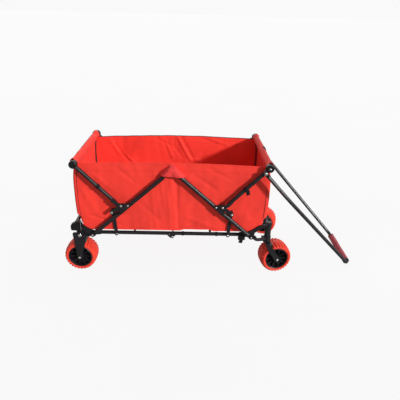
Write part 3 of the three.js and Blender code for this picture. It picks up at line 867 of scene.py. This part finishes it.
def floor_cloth(half):
    """Half of the basket's floor, from the middle to the turn of the end panel."""
    end = END_SIGN[half]
    rows, columns = 40, 181
    grid = np.zeros((rows, columns, 3))
    for i in range(rows):
        x = 0.2 + (BASKET_FOOT_X - 1.2) * i / (rows - 1)
        for j in range(columns):
            y = -FLOOR_HALF_WIDTH + 2 * FLOOR_HALF_WIDTH * j / (columns - 1)
            edge = smooth(222, 247, abs(y))
            side = "near" if y < 0 else "far"
            raised = max(wall_bottom(end * x, side) + 1.5, FLOOR_Z)
            z = FLOOR_Z + (raised - FLOOR_Z) * edge + EDGE_TURN_UP * smooth(244, 249, abs(y))
            z += 0.5 * wrinkle(x, y, 40, 40, 3.3 + end) * (1 - edge)
            grid[i, j] = (end * x, y, z)
    cloth = mesh(f"floor_cloth_{half}", thick_sheet(grid, 1.2), FLOOR_CANVAS, f"rails_{half}")


SWELL_STEPS = 16
SWELL_CAP = 0.005
PAD_VOXEL = 0.005
PAD_INSET = 5
SEAM_X = 72                    # the pad's two sewn channels lie this far from its middle


def inflate(piece, cap):
    """Swells a closed pad a little with the cloth solver; no point moves further than the cap, in metres."""
    start = np.array([vertex.co[:] for vertex in piece.data.vertices])
    cloth = piece.modifiers.new("swell", "CLOTH")
    cloth.settings.quality = 4
    cloth.settings.use_pressure = True
    cloth.settings.uniform_pressure_force = 4
    cloth.settings.effector_weights.gravity = 0
    cloth.settings.tension_stiffness = 25
    cloth.settings.compression_stiffness = 25
    scene = bpy.context.scene
    for step in range(1, SWELL_STEPS + 1):
        scene.frame_set(step)
    graph = bpy.context.evaluated_depsgraph_get()
    solved = piece.evaluated_get(graph).to_mesh()
    moved = np.array([vertex.co[:] for vertex in solved.vertices]) - start
    piece.evaluated_get(graph).to_mesh_clear()
    piece.modifiers.remove(cloth)
    scene.frame_set(1)
    far = np.linalg.norm(moved, axis=1, keepdims=True)
    moved *= np.minimum(1, cap / np.maximum(far, 1e-9))
    for vertex, point in zip(piece.data.vertices, start + moved):
        vertex.co = point


def floor_mat(half):
    """The padded floor board cover: a crowned pad with two sewn channels and a bound edge."""
    end = END_SIGN[half]
    low, high = wagon_box(f"floor_mat_{half}")
    blank = rounded_box((low.x + PAD_INSET, low.y + PAD_INSET, low.z + 1.2),
                        (high.x - PAD_INSET, high.y - PAD_INSET, high.z - 2.2), 3)
    pad = mesh(f"floor_pad_{half}", blank, FLOOR_CANVAS)
    remesh = pad.modifiers.new("even", "REMESH")
    remesh.mode = "VOXEL"
    remesh.voxel_size = PAD_VOXEL
    bpy.context.view_layer.objects.active = pad
    pad.select_set(True)
    bpy.ops.object.modifier_apply(modifier=remesh.name)
    pad.select_set(False)
    inflate(pad, SWELL_CAP)
    centre_x = (low.x + high.x) / 2
    middle = (low.z + high.z) / 2
    for vertex in pad.data.vertices:
        x, y, z = (vertex.co - Vector((SHIFT_X, 0, 0))) / MM
        z = min(max(z, low.z + 0.2), high.z + 1.5)
        if z > middle:
            for seam_x in (centre_x - end * SEAM_X, centre_x + end * SEAM_X):
                z -= 2.6 * math.exp(-((x - seam_x) / 5) ** 2)
            z += 0.8 * wrinkle(x, y, 50, 45, 2.2 + end)
        x = min(max(x, low.x - 0.5), high.x + 0.5)
        vertex.co = Vector((x * MM + SHIFT_X, y * MM, z * MM))
    pad.data.shade_smooth()
    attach(pad, f"rails_{half}")
    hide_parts(f"floor_mat_{half}")
    ring = []
    corners = [(low.x + 3, low.y + 3), (high.x - 3, low.y + 3),
               (high.x - 3, high.y - 3), (low.x + 3, high.y - 3)]
    for (xa, ya), (xb, yb) in zip(corners, corners[1:] + corners[:1]):
        for k in range(24):
            share = k / 24
            ring.append((xa + (xb - xa) * share, ya + (yb - ya) * share, middle))
    ring.append(ring[0])
    mesh(f"pad_piping_{half}", cord_tube(ring, 1.6, 8), PIPING, f"rails_{half}")


# ---- wheels ----------------------------------------------------------------------------------
LUGS = 28                      # tread blocks round a tyre
STEPS_PER_LUG = 9
RIBS = 10                      # ribs on each face of a hub


def tyre_relief(angle, radius, offset):
    """Depth of the grooves between the tread blocks, deepest at the shoulders."""
    turn = angle / (2 * math.pi) * LUGS + 0.010 * abs(offset)
    place = abs(turn % 1.0 - 0.5) * 2
    groove = smooth(0.48, 0.80, place)
    depth = 1.6 + 3.6 * smooth(8.0, 30.0, abs(offset))
    return depth * groove * smooth(70.5, 78.5, radius)


def tyre_part():
    """Tyre about the y axis; half of its section is given as (radius, |y|), from the rim out."""
    half = [(62.3, 45.6), (64.5, 48.2), (67.5, 49.7), (71.0, 49.9), (74.0, 49.5), (76.4, 48.4), (78.4, 46.4),
            (80.2, 43.0), (81.7, 38.5), (82.9, 33.5), (83.8, 28.0), (84.4, 21.5), (84.8, 15.0), (85.0, 9.0),
            (85.0, 3.0)]
    profile = [(r, -y) for r, y in half] + [(r, y) for r, y in reversed(half)]
    return turned(profile, LUGS * STEPS_PER_LUG, tyre_relief)


def hub_part(mirror):
    """Wheel centre: a rim, a dished disc and ribs on each face, and a long boss round the axle."""
    rim = [(54.0, -41), (56.5, -46.5), (60.0, -48.5), (62.0, -46.5)]
    rim = turned(rim + [(r, -y) for r, y in reversed(rim)], 72)
    disc = turned([(15, -22), (55, -27), (55, -22), (15, -17)], 72)
    back = turned([(15, 17), (55, 22), (55, 27), (15, 22)], 72)
    boss = [(5.4, -49), (13.5, -49), (15.5, -47), (17.0, -32)]
    boss = turned(boss + [(r, -y) for r, y in reversed(boss)], 48)
    ribs = []
    for face in (-1, 1):
        for k in range(RIBS):
            points, faces = rounded_box((15.5, -2.1, 0), (55.2, 2.1, 14), 1.0)
            radius = points[:, 0]
            lift = 20 + points[:, 2] + 7 * ((radius - 30) / 25) ** 2
            angle = 2 * math.pi * (k + 0.5 * (face > 0)) / RIBS
            taper = points[:, 1] * (1.0 + 0.5 * (radius - 15) / 38)
            ribs.append((np.stack([radius * math.cos(angle) - taper * math.sin(angle), face * lift,
                                   radius * math.sin(angle) + taper * math.cos(angle)], axis=1), faces))
    part = merge(rim, disc, back, boss, *ribs)
    return mirrored(part) if mirror else part


def placed(part, centre, yaw=0.0):
    """A part turned about the z axis and then moved."""
    points, faces = part
    cos, sin = math.cos(yaw), math.sin(yaw)
    points = np.asarray(points)
    turned_points = np.stack([points[:, 0] * cos - points[:, 1] * sin,
                              points[:, 0] * sin + points[:, 1] * cos, points[:, 2]], axis=1)
    return turned_points + np.array(centre), faces


def wheels():
    """Tyres, hubs and the domed ends of the axles, at the rear axles and in the swung casters."""
    tyre = tyre_part()
    axle_end = dome(0, 0, 4.6, 2.6, 59.8)
    axle_ends = merge(axle_end, mirrored(axle_end))
    for side, sign in SIDE_SIGN.items():
        yaw = CASTER_YAW[side]
        rear_centre = (-REAR_AXLE_X, sign * WHEEL_Y, TYRE_RADIUS)
        front_centre = (KINGPIN_X + CASTER_TRAIL * math.cos(yaw),
                        sign * WHEEL_Y + CASTER_TRAIL * math.sin(yaw), TYRE_RADIUS)
        hub = hub_part(mirror=side == "far")
        for kind, centre, turn, body in (("rear", rear_centre, 0.0, f"rear_wheel_{side}"),
                                         ("caster", front_centre, yaw, f"caster_wheel_{side}")):
            tread = mesh(f"{kind}_tread_{side}", placed(tyre, centre, turn), TYRE_FOAM, body, 50)
            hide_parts(f"{kind}_tyre_{side}")
            core = mesh(f"{kind}_wheel_core_{side}", placed(hub, centre, turn), HUB_PLASTIC, body, 35)
            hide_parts(f"{kind}_hub_{side}")
            fork_body = "rear_end" if kind == "rear" else f"caster_{side}"
            mesh(f"{kind}_axle_domes_{side}", placed(axle_ends, centre, turn), ZINC, fork_body)


# ---- rivets, straps and handle ---------------------------------------------------------------
def both_sides(name, part, material, body):
    """Makes a near-side part, and its mirror image on the far side."""
    mesh(f"{name}_near", part, material, body)
    mesh(f"{name}_far", mirrored(part), material, body)


# At both ends of the wagon: name, (|x|, z), radius, height, |y| of the seat, rear body, front body.
END_RIVETS = [("lever_rivet", LEVER, 6.6, 3.6, 293.2, "uppers_rear", "uppers_front"),
              ("strut_rivet", LEVER_END, 6.6, 3.4, 294.2, "struts_rear", "struts_front"),
              ("foot_rivet", STRUT_FOOT, 5.2, 3.0, 259.8, "struts_rear", "struts_front"),
              ("plate_rivet", LONG_RIVET, 5.2, 2.8, 288.4, "longs_rear", "longs_front"),
              ("pivot_rivet", PIVOT, 6.0, 3.6, 274.8, "rear_end", "front_end")]
# One on each side: name, dome, body.
SINGLE_RIVETS = [("fork_bolt_face", (*FORK_BOLT, 9.6, 3.8, 280.8, 5, 20), "rear_end"),
                 ("hinge_face", (0, CENTRE_HINGE_Z, 6.2, 3.0, 252.3), "rails_rear"),
                 ("cap_bolt", (CAP_X, TOP_BAR_Z, 6.0, 3.0, 290.8), "uppers_front"),
                 ("handle_bolt_face", (*HANDLE_PIVOT, 6.4, 3.2, 299.8), "uppers_front"),
                 ("hinge_plate_rivet", (-16, CENTRE_HINGE_Z + 15, 3.2, 2.0, 248.2), "rails_rear")]


def rivets():
    """Domed faces of the rivets and bolts in the linkage."""
    for half, end in END_SIGN.items():
        for name, (x, z), radius, height, seat, rear_body, front_body in END_RIVETS:
            both_sides(f"{name}_{half}", dome(end * x, z, radius, height, seat), ZINC,
                       rear_body if half == "rear" else front_body)
    for name, shape, body in SINGLE_RIVETS:
        both_sides(name, dome(*shape), ZINC, body)


def band_ring(centre, along, inner, thickness, width):
    """A closed band of webbing round a tube."""
    along = np.asarray(along, float) / np.linalg.norm(along)
    side = np.cross(along, (0, 1, 0))
    side /= np.linalg.norm(side)
    up = np.cross(along, side)
    half = width / 2
    profile = [(inner, -half), (inner + thickness * 0.7, -half), (inner + thickness, -half + 1),
               (inner + thickness, half - 1), (inner + thickness * 0.7, half), (inner, half)]
    steps = 28
    points = []
    for i in range(steps):
        angle = 2 * math.pi * i / steps
        out = math.cos(angle) * side + math.sin(angle) * up
        points += [np.asarray(centre) + out * r + along * o for r, o in profile]
    return np.array(points), quads(steps, len(profile), wrap_rows=True, wrap_columns=True)


STRAP_ALONG = 156              # the strap's place up the upper arm, from the arm's foot
STRAP_BAND = (10.2, 2.0, 17)   # inner radius, thickness and width


def straps():
    """Webbing: a band round each upper arm, with a hanging tail at the front; the clip with its buckle
    and tail and two tabs on the front rails; and the tab over the front top bar."""
    slope = np.array((CAP_X - ARM_FOOT[0], 0, TOP_BAR_Z - ARM_FOOT[1]))
    slope /= np.linalg.norm(slope)
    for half, end in END_SIGN.items():
        along = slope * (end, 1, 1)
        middle = np.array((end * ARM_FOOT[0], -UPPER_Y, ARM_FOOT[1])) + along * STRAP_ALONG
        parts = [band_ring(middle, along, *STRAP_BAND)]
        if half == "front":
            top = middle + np.array((6, -11.6, -2))
            tail = [top + np.array((0.9 * k, -0.25 * k * (1 - k / 14), -3.0 * k)) for k in range(9)]
            parts.append(strap(tail, (1, 0, 0.35), 19.0, 2.2))
        both_sides(f"tube_strap_{half}", merge(*parts), WEBBING, f"uppers_{half}")

    clip = band_ring((372.0, -RAIL_Y, RAIL_Z), (1, 0, 0), 10.3, 3.0, 30)
    buckle = rounded_box((350, -255.2, 196), (388, -247.0, 238), 4.0)
    tail = [np.array((370 - 0.6 * k, -252.0 - 0.5 * math.sin(k * 0.5), 204 - 2.6 * k)) for k in range(11)]
    both_sides("rail_clip", merge(clip, buckle, strap(tail, (1, 0, -0.2), 20.0, 3.0)), WEBBING, "rails_front")

    for number, x in enumerate((55, 235)):
        tab = band_ring((x, -RAIL_Y, RAIL_Z), (1, 0, 0), 10.2, 1.8, 10)
        both_sides(f"rail_tab_{number + 1}", tab, WEBBING, "rails_front")

    loop = [(484.0, -6, 641.0), (489.5, -6, 640.0), (494.5, -6, 636.0), (497.8, -6, 629.0),
            (499.0, -6, 620.0), (498.2, -6, 611.0), (496.0, -6, 603.0)]
    mesh("front_tab", strap(loop, (0, 1, 0), 24.0, 3.0), WEBBING, "wall_front")


GRIP_RADIUS = 17.9
GRIP_BORE = 9.8
COLLAR_WIDTH = 11.0


def grip():
    """Foam sleeve on the handle's crossbar, slightly waisted, with a dark collar at each end."""
    low, high = wagon_box("handle_grip")
    centre = (low + high) / 2
    half = (high.y - low.y) / 2
    profile = []
    for k in range(33):
        y = -half + 3 + (2 * half - 6) * k / 32
        waist = 0.9 * math.cos(2 * math.pi * k / 32) ** 2 * (1 if 4 < k < 28 else 0.4)
        profile.append((GRIP_RADIUS - waist, y))
    profile = [(GRIP_BORE, -half), (15.8, -half)] + profile + [(15.8, half), (GRIP_BORE, half)]
    sleeve = mesh("grip_foam", placed(turned(profile, 40), centre), GRIP_FOAM, "handle", 50)
    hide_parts("handle_grip")
    collars = []
    for side in (-1, 1):
        edge = [(9.9, 0), (15.4, 0), (17.6, 2.0), (17.6, 9.0), (16.4, COLLAR_WIDTH), (9.9, COLLAR_WIDTH)]
        start = centre.y + side * half + (0 if side > 0 else -COLLAR_WIDTH)
        collars.append(placed(turned(edge, 36), (centre.x, start, centre.z)))
    mesh("grip_collars", merge(*collars), PLASTIC, "handle")


# ---- light, floor and camera -----------------------------------------------------------------
CAMERA_PLACE = (93.9, -2184.7, 1313.6)
CAMERA_YAW, CAMERA_PITCH, CAMERA_ROLL = 0.0246, 0.4299, 0.0295
CAMERA_LENS = 37.39
SUN_TRAVEL = (-1.0, 0.86, -0.50)
SUN_STRENGTH = 3.4
SUN_COLOUR = (1.0, 0.985, 0.96)
SUN_PLACE = (1.5, -1.5, 2.0)     # only marks where the lights are; suns shine from afar
SUN_ANGLE = math.radians(5)
FILL_TRAVEL = (0.1, -1.0, -0.4)
FILL_STRENGTH = 1.0
FILL_ANGLE = math.radians(40)
SKY_STRENGTH = 0.40
HORIZON_STRENGTH = 0.95
HORIZON_BAND = (0.06, 0.22)      # height of the view direction from which the horizon fades into the sky
GROUND_STRENGTH = 0.28           # light from below; the floor itself is seen but doesn't light the wagon
GROUND_EDGE = -0.02              # height of the view direction where that light begins
FLOOR_HALF = 120.0
FLOOR_DROP = 0.0004              # metres below the tyres


def studio():
    """A wide pale floor, soft light all round, a key sun from the right and a weak fill from behind."""
    floor_data = bpy.data.meshes.new("floor")
    corners = [(x * FLOOR_HALF, y * FLOOR_HALF, 0) for x, y in ((-1, -1), (1, -1), (1, 1), (-1, 1))]
    floor_data.from_pydata(corners, [], [(0, 1, 2, 3)])
    floor_data.materials.append(floor_material())
    floor = bpy.data.objects.new("studio_floor", floor_data)
    bpy.context.scene.collection.objects.link(floor)
    floor.location.z = -FLOOR_DROP
    floor.visible_diffuse = False
    floor.visible_glossy = False

    world = bpy.data.worlds.new("studio")
    bpy.context.scene.world = world
    world.use_nodes = True
    sky = world.node_tree.nodes["Background"]
    sky.inputs["Strength"].default_value = 1.0
    nodes, links = world.node_tree.nodes, world.node_tree.links
    direction = nodes.new("ShaderNodeSeparateXYZ")
    links.new(nodes.new("ShaderNodeTexCoord").outputs["Generated"], direction.inputs["Vector"])
    shade = nodes.new("ShaderNodeMapRange")
    links.new(direction.outputs["Z"], shade.inputs["Value"])
    shade.inputs["From Min"].default_value = HORIZON_BAND[0]
    shade.inputs["From Max"].default_value = HORIZON_BAND[1]
    shade.inputs["To Min"].default_value = HORIZON_STRENGTH
    shade.inputs["To Max"].default_value = SKY_STRENGTH
    above = nodes.new("ShaderNodeMath")
    above.operation = "GREATER_THAN"
    links.new(direction.outputs["Z"], above.inputs[0])
    above.inputs[1].default_value = GROUND_EDGE
    halves = nodes.new("ShaderNodeMix")
    links.new(above.outputs["Value"], halves.inputs["Factor"])
    halves.inputs["A"].default_value = GROUND_STRENGTH
    links.new(shade.outputs["Result"], halves.inputs["B"])
    links.new(halves.outputs["Result"], sky.inputs["Color"])

    unlit = bpy.data.collections.new("not_lit_by_suns")
    unlit.objects.link(floor)
    suns = (("key", SUN_TRAVEL, SUN_STRENGTH, SUN_ANGLE), ("fill", FILL_TRAVEL, FILL_STRENGTH, FILL_ANGLE))
    for name, travel, strength, angle in suns:
        data = bpy.data.lights.new(name, "SUN")
        data.energy = strength
        data.angle = angle
        data.color = SUN_COLOUR
        sun = bpy.data.objects.new(name, data)
        sun.rotation_mode = "QUATERNION"
        sun.rotation_quaternion = Vector(travel).to_track_quat("-Z", "Y")
        sun.location = SUN_PLACE
        bpy.context.scene.collection.objects.link(sun)
        sun.light_linking.receiver_collection = unlit
    unlit.collection_objects[0].light_linking.link_state = "EXCLUDE"


def camera():
    """The camera in front of the near side, looking down at the wagon, rolled a little."""
    forward = Vector((math.sin(CAMERA_YAW) * math.cos(CAMERA_PITCH),
                      math.cos(CAMERA_YAW) * math.cos(CAMERA_PITCH), -math.sin(CAMERA_PITCH)))
    right = Vector((math.cos(CAMERA_YAW), -math.sin(CAMERA_YAW), 0))
    up = right.cross(forward)
    rolled_right = math.cos(CAMERA_ROLL) * right + math.sin(CAMERA_ROLL) * up
    rolled_up = -math.sin(CAMERA_ROLL) * right + math.cos(CAMERA_ROLL) * up
    data = bpy.data.cameras.new("camera")
    data.sensor_width = 36
    data.lens = CAMERA_LENS
    made = bpy.data.objects.new("camera", data)
    bpy.context.scene.collection.objects.link(made)
    turn = Matrix((rolled_right, rolled_up, -forward)).transposed().to_4x4()
    x, y, z = (value * MM for value in CAMERA_PLACE)
    made.matrix_world = Matrix.Translation((x + SHIFT_X, y, z)) @ turn
    bpy.context.scene.camera = made


# ---- assembly --------------------------------------------------------------------------------
bpy.context.scene.view_settings.view_transform = "Standard"
camera()
dress_frame()
for side in ("near", "far"):
    wall = side_panel(side)
    inner_patch(side, wall)
    flap(side)
for half in ("rear", "front"):
    end_panel(half)
    floor_cloth(half)
    floor_mat(half)
wheels()
rivets()
straps()
grip()
studio()
